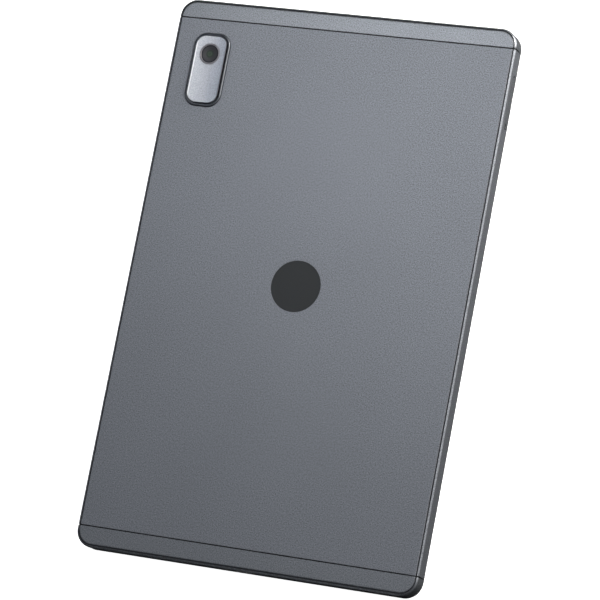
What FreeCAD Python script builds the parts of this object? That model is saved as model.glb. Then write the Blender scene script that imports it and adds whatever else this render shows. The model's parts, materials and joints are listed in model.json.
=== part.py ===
"""A nine inch tablet computer as separate solids, one STEP per piece.

Frame: the tablet lies on its front glass with its rear cover up. X runs across its width, Y along its
length with the camera at +Y, and Z from the front glass to the rear cover. The origin is the centre of
the front glass's outer face. All sizes are in millimetres.
"""
import FreeCAD
import Part
import math
import os

V = FreeCAD.Vector

# ---------------------------------------------------------------- driving dimensions
WIDTH, LENGTH, THICKNESS = 136.8, 215.4, 8.0
CORNER_R = 6.7
WALL, BACK = 1.0, 0.9                # side wall and rear face of the shell
EDGE_R = 0.64                        # rounding between side wall and rear face
GROOVE_W, GROOVE_D = 0.40, 0.30      # fine line that frames the rear face
SEAM_TOP, SEAM_BOTTOM = 7.4, 8.0     # centre of each seam, from that end of the body
SEAM_W, SEAM_SINK = 0.38, 0.14
RIM_Z = 1.1                          # the shell's open edge
FIT = 0.05                           # gap between neighbouring housings
MESH = 0.1                           # thickness of woven or printed sheets

GLASS_T, GLASS_INSET, GLASS_EDGE_R = 0.7, 0.95, 0.35
LIP_Z0, LIP_R = 0.42, 0.5            # front rim's lip
VIEW_W, VIEW_H = 120.0, 200.6        # display module
LCD_T, LIGHT_T, BOND_T = 0.8, 1.1, 0.15
PLATE_Z0, PLATE_T = 2.85, 0.3        # the middle frame's plate
FRAME_INSET, FRAME_INNER = 1.15, 2.3  # the middle frame's wall, from the outline inwards

ISLAND_X, ISLAND_Y = -52.5, 80.3     # rear camera island
ISLAND_W, ISLAND_H, ISLAND_R = 15.2, 29.2, 5.25
PLATE_W, PLATE_H, PLATE_R = 12.4, 26.4, 3.85
SURROUND_UP, CAMERA_PLATE_UP, LENS_RING_UP = 0.55, 0.9, 1.0
LENS_Y, LENS_R, LENS_RING_R = 86.4, 3.5, 4.15

BADGE_R, BADGE_T, BADGE_SINK, BADGE_Y = 9.9, 0.15, 0.02, 0.9

JACK_X, JACK_Z, JACK_R, JACK_NOSE_R = 49.2, 4.9, 1.8, 2.1
JACK_LEN, JACK_W = 14.8, 6.2
USB_Z, USB_W, USB_H, USB_DEPTH, USB_T = 4.8, 8.34, 2.56, 7.3, 0.3
SLOT_PITCH, SLOT_W, SLOT_H, SLOTS = 2.45, 1.9, 1.2, 9
SPEAKER_W, SPEAKER_D = 24.0, 12.6
SPEAKER_BOTTOM_X, SPEAKER_TOP_X, SPEAKER_Z = -38.8, 33.0, 4.9
MIC_X, MIC_R, MIC_T = -20.0, 0.5, 1.0
FRONT_CAMERA_Y, LIGHT_SENSOR_X = 103.0, 12.0

KEY_Z, KEY_H, KEY_UP = 4.2, 2.4, 0.45     # side keys: centre height, height, stand-out
POWER_Y, POWER_L = 88.0, 11.0
VOLUME_Y, VOLUME_L = 62.0, 22.0
KEY_GAP = 0.15

TRAY_Y, TRAY_L, TRAY_H, TRAY_Z = 80.6, 20.0, 3.2, 3.2
CARRIER_W, CARRIER_D, CARRIER_T = 15.6, 16.9, 1.2
CARRIER_UP = 0.4                     # the carrier's underside above the face plate's centre line
PIN_Y, PIN_R = 72.0, 0.45

BATTERY = (-50.0, -66.0, 100.0, 108.0, 3.1)      # x, y, width, length, thickness
MAIN_Z, SUB_Z, BOARD_T = 5.05, 4.4, 0.8
SOCKET_T, FLEX_T = 0.6, 0.12

# ---------------------------------------------------------------- derived places
HALF_W, HALF_L = WIDTH / 2, LENGTH / 2
SEAM_TOP_Y, SEAM_BOTTOM_Y = HALF_L - SEAM_TOP, SEAM_BOTTOM - HALF_L
INNER_Z = THICKNESS - BACK
PLATE_Z1 = PLATE_Z0 + PLATE_T
LCD_Z = GLASS_T + BOND_T
LIGHT_Z = LCD_Z + LCD_T
CAMERA_TOP = THICKNESS + CAMERA_PLATE_UP
MAIN_TOP, SUB_TOP = MAIN_Z + BOARD_T, SUB_Z + BOARD_T
MAIN_PLUG_Z, SUB_PLUG_Z = MAIN_TOP + SOCKET_T, SUB_TOP + SOCKET_T   # where ribbons meet the sockets

# ---------------------------------------------------------------- shape helpers


def box(x0, y0, z0, dx, dy, dz):
    return Part.makeBox(dx, dy, dz, V(x0, y0, z0))


def middle_box(cx, cy, cz, dx, dy, dz):
    return box(cx - dx / 2, cy - dy / 2, cz - dz / 2, dx, dy, dz)


def rod(x, y, z, radius, length, axis=V(0, 0, 1)):
    return Part.makeCylinder(radius, length, V(x, y, z), axis)


def rounded_face(width, height, radius, cx=0.0, cy=0.0, z=0.0):
    """A rectangle with four arc corners, as a face at height z."""
    x, y, r = width / 2, height / 2, radius
    s = r * (1 - math.sqrt(0.5))
    sides = [
        ((x, -y + r), (x, y - r), (x - s, y - s), (x - r, y)),
        ((x - r, y), (-x + r, y), (-x + s, y - s), (-x, y - r)),
        ((-x, y - r), (-x, -y + r), (-x + s, -y + s), (-x + r, -y)),
        ((-x + r, -y), (x - r, -y), (x - s, -y + s), (x, -y + r)),
    ]
    edges = []
    for start, end, through, stop in sides:
        a, b, c, d = (V(cx + p[0], cy + p[1], z) for p in (start, end, through, stop))
        if (b - a).Length > 1e-6:
            edges.append(Part.LineSegment(a, b).toShape())
        edges.append(Part.Arc(b, c, d).toShape())
    return Part.Face(Part.Wire(edges))


def rounded_prism(width, height, radius, z0, z1, cx=0.0, cy=0.0):
    return rounded_face(width, height, radius, cx, cy, z0).extrude(V(0, 0, z1 - z0))


def body_prism(inset, z0, z1):
    """The tablet's outline, moved inwards by inset, between two heights."""
    return rounded_prism(WIDTH - 2 * inset, LENGTH - 2 * inset, CORNER_R - inset, z0, z1)


def fillet_at(shape, z, radius):
    """Rounds every edge that lies wholly at height z."""
    level = [e for e in shape.Edges if abs(e.BoundBox.ZMin - z) + abs(e.BoundBox.ZMax - z) < 1e-4]
    return shape.makeFillet(radius, level)


def turned(shape, axis, degrees):
    shape.rotate(V(0, 0, 0), axis, degrees)
    return shape


def side_slot(x, cy, cz, length, height, depth):
    """A slot with round ends that runs along Y in a wall facing X, from x inwards by depth (signed)."""
    slot = rounded_prism(height, length, height / 2 - 0.01, 0, abs(depth))
    slot = turned(slot, V(0, 1, 0), 90)      # depth now runs along +X
    slot.translate(V(x if depth > 0 else x + depth, cy, cz))
    return slot


def end_slot(cx, y, cz, length, height, depth):
    """A slot with round ends that runs along X in a wall facing Y, from y by depth (signed)."""
    slot = rounded_prism(length, height, height / 2 - 0.01, 0, abs(depth))
    slot = turned(slot, V(1, 0, 0), -90)     # depth now runs along +Y
    slot.translate(V(cx, y if depth > 0 else y + depth, cz))
    return slot


def slab(y0, y1):
    return box(-WIDTH, y0, -1, 2 * WIDTH, y1 - y0, 2 * THICKNESS)


def group(shapes):
    return Part.makeCompound(shapes)


def cut_all(shape, tools):
    for tool in tools:
        shape = shape.cut(tool)
    return shape


# ---------------------------------------------------------------- shared places


def slot_places(centre_x):
    first = centre_x - SLOT_PITCH * (SLOTS - 1) / 2
    return [first + SLOT_PITCH * i for i in range(SLOTS)]


MAIN_SCREWS = [(-62.0, 64.0), (-62.0, 97.0), (-38.0, 97.0), (10.0, 97.0), (-16.0, 64.0), (38.0, 64.0)]
SUB_SCREWS = [(-12.0, -95.0), (24.0, -95.0), (60.0, -95.0)]
SCREW_R, SCREW_HEAD_R, SCREW_HEAD_T, BOSS_R = 0.7, 1.3, 0.5, 1.7

# ---------------------------------------------------------------- shell


def shell(inset, top):
    """The whole hollow rear housing before it is divided, with its outline moved in by inset."""
    outer = fillet_at(body_prism(inset, RIM_Z, top), top, EDGE_R)
    return outer.cut(body_prism(WALL, 0, INNER_Z))


def frame_groove():
    """The fine line that runs round the rear face, just inside its rounded edge."""
    inner = EDGE_R + GROOVE_W
    ring = body_prism(EDGE_R, THICKNESS - GROOVE_D, THICKNESS + 1)
    return ring.cut(body_prism(inner, THICKNESS - GROOVE_D - 1, THICKNESS + 2))


def key_slots():
    gap = KEY_GAP * 2
    return [
        side_slot(-HALF_W - 1, POWER_Y, KEY_Z, POWER_L + gap, KEY_H + gap, WALL + 2),
        side_slot(-HALF_W - 1, VOLUME_Y, KEY_Z, VOLUME_L + gap, KEY_H + gap, WALL + 2),
    ]


def tray_slot():
    return side_slot(HALF_W + 1, TRAY_Y, TRAY_Z, TRAY_L + 0.2, TRAY_H + 0.2, -WALL - 2)


def island_hole():
    gap = 2 * FIT
    return rounded_prism(ISLAND_W + gap, ISLAND_H + gap, ISLAND_R + FIT, INNER_Z - 1, THICKNESS + 1,
                         ISLAND_X, ISLAND_Y)


def rear_cover(housing):
    half = SEAM_W / 2
    middle = housing.common(slab(SEAM_BOTTOM_Y + half, SEAM_TOP_Y - half))
    pocket = rod(0, BADGE_Y, THICKNESS - BADGE_T - BADGE_SINK, BADGE_R + 0.02, 1)
    return cut_all(middle, key_slots() + [tray_slot(), island_hole(), pocket])


def top_cap(housing):
    cap = housing.common(slab(SEAM_TOP_Y + SEAM_W / 2, HALF_L + 1))
    places = slot_places(SPEAKER_TOP_X)
    tools = [end_slot(x, HALF_L + 1, SPEAKER_Z, SLOT_W, SLOT_H, -WALL - 2) for x in places]
    tools.append(rod(MIC_X, HALF_L - 2, MAIN_TOP + MIC_T / 2, MIC_R, 4, V(0, 1, 0)))
    return cut_all(cap, tools)


def bottom_cap(housing):
    cap = housing.common(slab(-HALF_L - 1, SEAM_BOTTOM_Y - SEAM_W / 2))
    places = slot_places(SPEAKER_BOTTOM_X)
    tools = [end_slot(x, -HALF_L - 1, SPEAKER_Z, SLOT_W, SLOT_H, WALL + 2) for x in places]
    tools.append(rod(MIC_X, -HALF_L - 1, SUB_TOP + MIC_T / 2, MIC_R, 3, V(0, 1, 0)))
    tools.append(rod(JACK_X, -HALF_L - 1, JACK_Z, JACK_NOSE_R + FIT, 3, V(0, 1, 0)))
    outer_w, outer_h = USB_W + 2 * USB_T, USB_H + 2 * USB_T
    tools.append(end_slot(0, -HALF_L - 1, USB_Z, outer_w + 2 * FIT, outer_h + 2 * FIT, 3))
    return cut_all(cap, tools)


def seam(core, y):
    """The dark insulating strip in one seam, sunk a little below the housings on each side."""
    return core.common(slab(y - SEAM_W / 2, y + SEAM_W / 2))


def badge():
    return rod(0, BADGE_Y, THICKNESS - BADGE_T - BADGE_SINK, BADGE_R, BADGE_T)


# ---------------------------------------------------------------- front: glass, display, middle frame


def cover_glass():
    return fillet_at(body_prism(GLASS_INSET, 0, GLASS_T), 0, GLASS_EDGE_R)


def glass_bond():
    """The adhesive ring between cover glass and middle frame."""
    ring = body_prism(GLASS_INSET + 0.1, GLASS_T, GLASS_T + BOND_T)
    return ring.cut(body_prism(GLASS_INSET + 1.3, 0, 2))


def display_sheet(z, thickness, margin=0.0):
    return rounded_prism(VIEW_W - 2 * margin, VIEW_H - 2 * margin, 1.0, z, z + thickness)


def frame_pockets():
    """Places where the middle frame's wall and plate give way to keys, tray, sockets and speakers."""
    deep = 3.0
    out_w = -HALF_W - 1
    pockets = [
        box(out_w, POWER_Y - 7.2, 2.0, deep + 1.2, 14.4, deep),
        box(out_w, VOLUME_Y - 12.9, 2.0, deep + 1.2, 25.8, deep),
        box(HALF_W - 4.7, TRAY_Y - 10.6, 1.7, 5.7, 21.2, deep),
        box(JACK_X - 3.4, -HALF_L - 1, JACK_Z - 2.3, 6.8, JACK_LEN + 2.6, deep),
        box(-5.0, -HALF_L - 1, 2.8, 10.0, 10.0, deep),
        box(SPEAKER_BOTTOM_X - 12.4, -HALF_L - 1, 3.16, 24.8, 6.0, deep),
        box(SPEAKER_TOP_X - 12.4, HALF_L - 5.0, 3.16, 24.8, 6.0, deep),
        box(-3.0, FRONT_CAMERA_Y - 3.0, 2.0, 6.0, 5.6, deep),
        box(LIGHT_SENSOR_X - 2.0, FRONT_CAMERA_Y - 1.8, 2.0, 4.0, 3.6, deep),
        box(-14.0, 54.0, 2.0, 22.0, 1.6, deep),
        box(ISLAND_X - 4.6, LENS_Y - 4.6, 2.84, 9.2, 9.2, 1.0),
    ]
    return pockets


def front_rim():
    """The lip round the cover glass, which fills the gap between glass and shell."""
    lip = fillet_at(body_prism(0, LIP_Z0, RIM_Z - FIT), LIP_Z0, LIP_R)
    lip = lip.cut(body_prism(GLASS_INSET - FIT, 0, GLASS_T + BOND_T))
    return lip.cut(body_prism(FRAME_INSET - FIT, 0, THICKNESS))


def middle_frame():
    """Inner wall that plugs into the shell and carries the glass, and the plate that carries the parts."""
    frame = body_prism(FRAME_INSET, GLASS_T + BOND_T, PLATE_Z1).cut(body_prism(FRAME_INNER, 0, PLATE_Z0))
    for places, top in ((MAIN_SCREWS, MAIN_Z), (SUB_SCREWS, SUB_Z)):
        for x, y in places:
            frame = frame.fuse(rod(x, y, PLATE_Z0, BOSS_R, top - PLATE_Z0))
    for x, y in MAIN_SCREWS + SUB_SCREWS:
        frame = frame.cut(rod(x, y, PLATE_Z0 + 0.2, SCREW_R + 0.03, 4))
    return cut_all(frame, frame_pockets()).removeSplitter()


# ---------------------------------------------------------------- rear camera


def camera_surround():
    """Dark ring round the camera plate, with the floor that carries the plate and a bonding flange inside."""
    top = THICKNESS + SURROUND_UP
    ring = rounded_prism(ISLAND_W, ISLAND_H, ISLAND_R, INNER_Z, top, ISLAND_X, ISLAND_Y)
    ring = fillet_at(ring, top, 0.18)
    flange_z = INNER_Z - 0.35
    flange = rounded_prism(ISLAND_W + 2, ISLAND_H + 2, ISLAND_R + 1, flange_z, INNER_Z, ISLAND_X, ISLAND_Y)
    well_w, well_h, well_r = PLATE_W + 0.1, PLATE_H + 0.1, PLATE_R + 0.05
    well = rounded_prism(well_w, well_h, well_r, INNER_Z, top + 1, ISLAND_X, ISLAND_Y)
    eye = rod(ISLAND_X, LENS_Y, INNER_Z - 1, LENS_RING_R - 0.5, 3)
    return ring.fuse(flange).cut(well).cut(eye).removeSplitter()


def camera_plate():
    plate = rounded_prism(PLATE_W, PLATE_H, PLATE_R, INNER_Z, CAMERA_TOP, ISLAND_X, ISLAND_Y)
    plate = fillet_at(plate, CAMERA_TOP, 0.22)
    return plate.cut(rod(ISLAND_X, LENS_Y, INNER_Z - 1, LENS_RING_R + 0.03, 4))


def lens_ring():
    top = THICKNESS + LENS_RING_UP
    ring = fillet_at(rod(ISLAND_X, LENS_Y, INNER_Z, LENS_RING_R, top - INNER_Z), top, 0.12)
    bore = rod(ISLAND_X, LENS_Y, INNER_Z - 1, LENS_R - 0.4, 4)
    seat = rod(ISLAND_X, LENS_Y, top - 0.7, LENS_R + 0.03, 2)
    return ring.cut(bore).cut(seat)


def lens_window():
    z0 = THICKNESS + LENS_RING_UP - 0.7
    return rod(ISLAND_X, LENS_Y, z0, LENS_R, 0.55)


CAMERA_SIDE = 8.4


def camera_module():
    body = middle_box(ISLAND_X, LENS_Y, 4.75, CAMERA_SIDE, CAMERA_SIDE, 2.9)
    return body.cut(rod(ISLAND_X, LENS_Y, 4.2, 2.63, 4))


def camera_barrel():
    barrel = rod(ISLAND_X, LENS_Y, 4.2, 2.6, 3.6)
    return barrel.cut(Part.makeCone(0.9, 2.0, 1.2, V(ISLAND_X, LENS_Y, 6.7)))


def camera_flex():
    """Ribbon from the camera module up through the main board's notch to its socket."""
    x = ISLAND_X + CAMERA_SIDE / 2
    y, width, z = LENS_Y - 2.5, 5.0, 3.5
    foot = box(x, y, z, 0.45, width, FLEX_T)
    rise = box(x + 0.45 - FLEX_T, y, z, FLEX_T, width, MAIN_PLUG_Z - z + FLEX_T)
    over = box(x + 0.45 - FLEX_T, y, MAIN_PLUG_Z, 6.0, width, FLEX_T)
    return foot.fuse(rise).fuse(over).removeSplitter()


# ---------------------------------------------------------------- boards and what they carry


def main_board():
    board = box(-64.5, 60.0, MAIN_Z, 129.0, 40.5, BOARD_T)
    board = board.fuse(box(MIC_X - 4, 100, MAIN_Z, 8, 5.3, BOARD_T))
    notches = [
        middle_box(ISLAND_X, LENS_Y, MAIN_Z, CAMERA_SIDE + 1.6, CAMERA_SIDE + 1.0, 3),
        box(SPEAKER_TOP_X - 13, 91.4, MAIN_Z - 1, 32, 12, 3),
        middle_box(0, 101, MAIN_Z, 7, 6, 3),
        box(-65, POWER_Y - 8, MAIN_Z - 1, 2.2, 16, 3),
        box(-65, VOLUME_Y - 14, MAIN_Z - 1, 2.2, 28, 3),
    ]
    holes = [rod(x, y, MAIN_Z - 1, SCREW_R + 0.15, 3) for x, y in MAIN_SCREWS]
    return cut_all(board, notches + holes).removeSplitter()


def shield_can(x, y, width, height, z, up):
    """A thin pressed box, open towards the board it covers."""
    t = 0.2
    outer = box(x, y, z, width, height, up)
    return outer.cut(box(x + t, y + t, z - t, width - 2 * t, height - 2 * t, up))


CANS = [(-33.0, 68.0, 34.0, 26.0), (4.0, 68.0, 26.0, 22.0), (36.0, 68.0, 12.0, 14.0)]
CAN_H = 1.0


def shield_cans():
    return group([shield_can(x, y, w, h, MAIN_TOP, CAN_H) for x, y, w, h in CANS])


def chips():
    """Processor, memory, power and radio chips under the shield cans."""
    sizes = [(-28.0, 74.0, 13.0, 13.0), (-12.0, 72.0, 9.0, 11.0), (7.0, 72.0, 8.0, 8.0),
             (19.0, 71.0, 7.0, 6.0), (38.0, 71.0, 6.0, 6.0)]
    return group([box(x, y, MAIN_TOP, w, h, 0.7) for x, y, w, h in sizes])


def heat_sheet():
    """Graphite sheet that carries heat from the two large cans."""
    return box(-34.0, 66.5, MAIN_TOP + CAN_H, 65.0, 26.5, MESH)


def board_sockets():
    """Ribbon sockets on both boards, and the battery's socket."""
    main = [(50.0, 61.0, 9.0, 3.0), (12.0, 61.0, 12.0, 3.0), (-10.5, 60.5, 15.0, 2.6),
            (-45.5, LENS_Y - 3, 3.0, 6.0)]
    sub = [(30.0, -92.5, 8.0, 3.0)]
    return group([box(x, y, MAIN_TOP, w, h, SOCKET_T) for x, y, w, h in main]
                 + [box(x, y, SUB_TOP, w, h, SOCKET_T) for x, y, w, h in sub])


def sub_board():
    board = box(-24.0, -105.3, SUB_Z, 89.0, 16.8, BOARD_T)
    usb = USB_W / 2 + USB_T + FIT
    notches = [
        box(-usb, -107, SUB_Z - 1, 2 * usb, 107 - HALF_L + USB_DEPTH + 0.3 + 0.7, 3),
        box(JACK_X - JACK_W / 2 - FIT, -107, SUB_Z - 1, JACK_W + 2 * FIT, JACK_LEN + 0.7, 3),
    ]
    holes = [rod(x, y, SUB_Z - 1, SCREW_R + 0.15, 3) for x, y in SUB_SCREWS]
    return cut_all(board, notches + holes)


def screw(x, y, z_board):
    top = z_board + BOARD_T
    shank = rod(x, y, PLATE_Z0 + 0.5, SCREW_R, top - PLATE_Z0 - 0.5)
    head = rod(x, y, top, SCREW_HEAD_R, SCREW_HEAD_T)
    drive = middle_box(x, y, top + SCREW_HEAD_T, 1.5, 0.35, 0.5).fuse(
        middle_box(x, y, top + SCREW_HEAD_T, 0.35, 1.5, 0.5))
    return shank.fuse(head).cut(drive).removeSplitter()


def board_screws():
    return group([screw(x, y, MAIN_Z) for x, y in MAIN_SCREWS] + [screw(x, y, SUB_Z) for x, y in SUB_SCREWS])


def usb_shell():
    """Pressed steel receptacle, open at the body's end."""
    outer = end_slot(0, -HALF_L + 0.15, USB_Z, USB_W + 2 * USB_T, USB_H + 2 * USB_T, USB_DEPTH)
    return outer.cut(end_slot(0, -HALF_L - 1, USB_Z, USB_W, USB_H, USB_DEPTH + 0.8))


def usb_tongue():
    return middle_box(0, -HALF_L + 3.9, USB_Z, 6.69, 6.4, 0.7)


def usb_contacts():
    """Twelve contacts on each face of the tongue."""
    pads = []
    for side in (-1, 1):
        for i in range(12):
            x = (i - 5.5) * 0.5
            pads.append(middle_box(x, -HALF_L + 3.2, USB_Z + side * 0.375, 0.26, 3.6, 0.05))
    return group(pads)


def jack():
    """Headphone socket: a square body with a round nose that shows in the bottom cap."""
    y0 = -HALF_L + WALL + FIT
    body = middle_box(JACK_X, y0 + (JACK_LEN - WALL) / 2, JACK_Z, JACK_W, JACK_LEN - WALL, 4.2)
    nose = rod(JACK_X, -HALF_L + 0.08, JACK_Z, JACK_NOSE_R, 2.0, V(0, 1, 0))
    return body.fuse(nose).cut(rod(JACK_X, -HALF_L - 1, JACK_Z, JACK_R, JACK_LEN + 0.4, V(0, 1, 0)))


def speaker(cx, end):
    """Sealed speaker box whose mouth faces the slots in the cap at that end (+1 top, -1 bottom)."""
    depth, z0, z1 = SPEAKER_D, PLATE_Z1 + 0.1, 6.9
    y_mouth = end * (HALF_L - WALL - 0.55)
    y_low = min(y_mouth, y_mouth - end * depth)
    case = box(cx - SPEAKER_W / 2, y_low, z0, SPEAKER_W, depth, z1 - z0)
    mouth = middle_box(cx, y_mouth - end * 1.0, (z0 + z1) / 2, SPEAKER_W - 3, 2.2, 1.6)
    return case.cut(mouth)


def speaker_mesh(cx, end):
    y = end * (HALF_L - WALL - 0.3)
    return middle_box(cx, y, SPEAKER_Z, SPEAKER_W - 1, MESH, 2.6)


def microphone(end, board_top):
    return middle_box(MIC_X, end * (HALF_L - WALL - 2.6), board_top + MIC_T / 2, 3.0, 2.2, MIC_T)


def battery():
    x, y, w, h, t = BATTERY
    z = PLATE_Z1 + MESH
    pouch = rounded_prism(w, h, 3.0, z, z + t, x + w / 2, y + h / 2)
    return fillet_at(fillet_at(pouch, z + t, 0.9), z, 0.5)


def battery_tape():
    x, y, w, h, _ = BATTERY
    strips = [box(x + 12 + i * 28, y + 8, PLATE_Z1, 20, h - 16, MESH) for i in range(3)]
    return group(strips)


def battery_guard():
    """Protection board along the battery's top edge, under its folded rim."""
    x, y, w, h, _ = BATTERY
    return box(x + 30, y + h + 0.3, PLATE_Z1 + 0.3, 40, 4.2, 0.9)


def battery_lead():
    """Ribbon from the protection board up to the main board's socket."""
    x, width, z, t = 14.0, 8.0, PLATE_Z1 + 0.5, 0.15
    y0 = BATTERY[1] + BATTERY[3] + 4.5
    foot = box(x, y0, z, width, 0.35, t)
    rise = box(x, y0 + 0.2, z, width, t, MAIN_PLUG_Z - z)
    tail = box(x, y0 + 0.2, MAIN_PLUG_Z, width, 63.0 - y0, t)
    return rise.fuse(foot).fuse(tail).removeSplitter()


def link_flex():
    """Ribbon that joins the two boards along the battery's side."""
    x, width, z = 52.5, 5.0, PLATE_Z1 + 0.2
    y0, y1, t = -84.0, 54.0, FLEX_T
    run = box(x, y0, z, width, y1 - y0, t)
    up = box(x, y1, z, width, t, MAIN_PLUG_Z - z + t)
    over = box(x, y1, MAIN_PLUG_Z, width, 9.0, t)
    down = box(x, y0 - t, z, width, t, SUB_PLUG_Z - z + t)
    joint = box(x, -92.5, SUB_PLUG_Z, width, y0 + 92.5, t)
    tail = box(31.0, -92.5, SUB_PLUG_Z, x - 31.0, 3.0, t)
    return run.fuse(up).fuse(over).fuse(down).fuse(joint).fuse(tail).removeSplitter()


def display_flex():
    """Ribbon from the display module through the plate's slot to the main board."""
    t = 0.1
    x, width, z, y1 = -10.0, 14.0, LIGHT_Z + LIGHT_T, 54.9
    under = box(x, 30.0, z, width, y1 - 30.0, t - 0.01)
    rise = box(x, y1, z, width, t, MAIN_PLUG_Z - z)
    over = box(x, y1, MAIN_PLUG_Z, width, 8.0, t)
    return under.fuse(rise).fuse(over).removeSplitter()


def front_camera():
    """Module behind the glass's top border, with its lens barrel reaching up to the glass."""
    body = middle_box(0, FRONT_CAMERA_Y, 3.0, 4.6, 4.4, 1.9)
    barrel = rod(0, FRONT_CAMERA_Y, GLASS_T + 0.2, 1.7, 1.2)
    mouth = Part.makeCone(1.2, 0.5, 0.5, V(0, FRONT_CAMERA_Y, GLASS_T + 0.2))
    return body.fuse(barrel).cut(mouth).removeSplitter()


def light_sensor():
    return middle_box(LIGHT_SENSOR_X, FRONT_CAMERA_Y, 1.9, 2.0, 1.6, 1.0)


def antenna(y, x0, x1):
    """Printed antenna on the inside of a plastic cap."""
    return box(x0, y, INNER_Z - MESH, x1 - x0, 4.6, MESH)


# ---------------------------------------------------------------- side keys


def key_cap(cy, length):
    """A key that fills its slot, with a retaining flange inside the wall. It faces -X."""
    out = -HALF_W - KEY_UP
    cap = side_slot(out, cy, KEY_Z, length, KEY_H, KEY_UP + WALL + 0.3)
    edges = [e for e in cap.Edges if abs(e.BoundBox.XMin - out) < 1e-4 and abs(e.BoundBox.XMax - out) < 1e-4]
    return cap.makeFillet(0.2, edges)


def power_button():
    flange_x = -HALF_W + WALL + 0.12
    flange = box(flange_x, POWER_Y - POWER_L / 2 - 1, KEY_Z - 1.8, 0.5, POWER_L + 2, 3.6)
    nub = middle_box(flange_x + 0.8, POWER_Y, KEY_Z, 0.6, 2.0, 1.6)
    return key_cap(POWER_Y, POWER_L).fuse(flange).fuse(nub).removeSplitter()


def volume_rocker():
    flange_x = -HALF_W + WALL + 0.28
    flange = box(flange_x, VOLUME_Y - VOLUME_L / 2 - 1, KEY_Z - 1.8, 0.5, VOLUME_L + 2, 3.6)
    shape = key_cap(VOLUME_Y, VOLUME_L).fuse(flange)
    for dy in (-7.0, 7.0):
        shape = shape.fuse(middle_box(flange_x + 0.7, VOLUME_Y + dy, KEY_Z, 0.4, 2.0, 1.6))
    return shape.removeSplitter()


SWITCH_YS = [POWER_Y, VOLUME_Y - 7.0, VOLUME_Y + 7.0]
SWITCH_X, SWITCH_T = -HALF_W + 2.62, 0.5


def key_switches():
    return group([middle_box(SWITCH_X + SWITCH_T / 2, y, KEY_Z, SWITCH_T, 3.6, 2.4) for y in SWITCH_YS])


def key_flex():
    return box(SWITCH_X + SWITCH_T, VOLUME_Y - 11, KEY_Z - 1.0, 0.15, POWER_Y - VOLUME_Y + 16, 2.4)


def key_bracket():
    x = SWITCH_X + SWITCH_T + 0.15
    return box(x, VOLUME_Y - 12, PLATE_Z1, 0.35, POWER_Y - VOLUME_Y + 18, 3.0)


# ---------------------------------------------------------------- card tray and its reader

CARRIER_X0 = HALF_W - WALL - CARRIER_D
LEVER_X, LEVER_Y, LEVER_ARM = CARRIER_X0 - 2.6, TRAY_Y + 0.4, TRAY_Y + 0.4 - PIN_Y
READER_X0, READER_X1 = LEVER_X - 3.2, HALF_W - 4.8
ROD_Z = PLATE_Z1 + 0.35


def card_tray():
    """Face plate that is flush with the side wall, and the carrier with its card pocket behind it."""
    face = side_slot(HALF_W - WALL, TRAY_Y, TRAY_Z, TRAY_L, TRAY_H, WALL)
    carrier_y = TRAY_Y + TRAY_L / 2 - CARRIER_W - 1.4
    z0 = TRAY_Z + CARRIER_UP
    carrier = box(CARRIER_X0, carrier_y, z0, CARRIER_D + 0.01, CARRIER_W, CARRIER_T)
    pocket = box(CARRIER_X0 + 0.9, carrier_y + 2.2, z0 + 0.35, 15.1, 11.1, 2)
    window = box(CARRIER_X0 + 3.5, carrier_y + 3.8, z0 - 1, 9.5, 8.0, 3)
    hole = rod(HALF_W - WALL - 1, PIN_Y, TRAY_Z, PIN_R, 4, V(1, 0, 0))
    return face.fuse(carrier).cut(pocket).cut(window).cut(hole).removeSplitter()


def card_reader():
    """Pressed steel cage that guides the carrier and the eject rod."""
    y0, y1 = TRAY_Y - 9.9, TRAY_Y + 10.1
    z0, z1 = PLATE_Z1 + 0.02, MAIN_Z
    t = 0.15
    cage = box(READER_X0, y0, z0, READER_X1 - READER_X0, y1 - y0, z1 - z0)
    inner = box(READER_X0 + t, y0 + t, z0 + t, READER_X1 - READER_X0, y1 - y0 - 2 * t, z1 - z0 - 2 * t)
    post = rod(LEVER_X, LEVER_Y, z0, 0.55, z1 - z0 - 0.05)
    return cage.cut(inner).fuse(post).removeSplitter()


def eject_rod():
    """Sliding bar behind the pin hole, with a foot that the pin meets and a far end at the lever."""
    x0, x1 = LEVER_X + 0.62, HALF_W - WALL - 0.6
    bar = box(x0, PIN_Y - 0.45, ROD_Z, x1 - x0, 0.9, 1.0)
    foot = box(x1 - 0.8, PIN_Y - 0.6, TRAY_Z - 0.6, 0.8, 1.2, ROD_Z + 1.0 - TRAY_Z + 0.6)
    return bar.fuse(foot).removeSplitter()


def eject_lever():
    """Flat lever on the reader's post. The rod pushes one end and the other end moves towards the tray."""
    z, t = ROD_Z + 0.1, 0.6
    bar = box(LEVER_X - 0.5, PIN_Y - 0.5, z, 1.0, 2 * LEVER_ARM + 1.0, t)
    hub = rod(LEVER_X, LEVER_Y, z, 1.3, t)
    return bar.fuse(hub).cut(rod(LEVER_X, LEVER_Y, z - 1, 0.6, 3)).removeSplitter()


# ---------------------------------------------------------------- build and export


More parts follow.
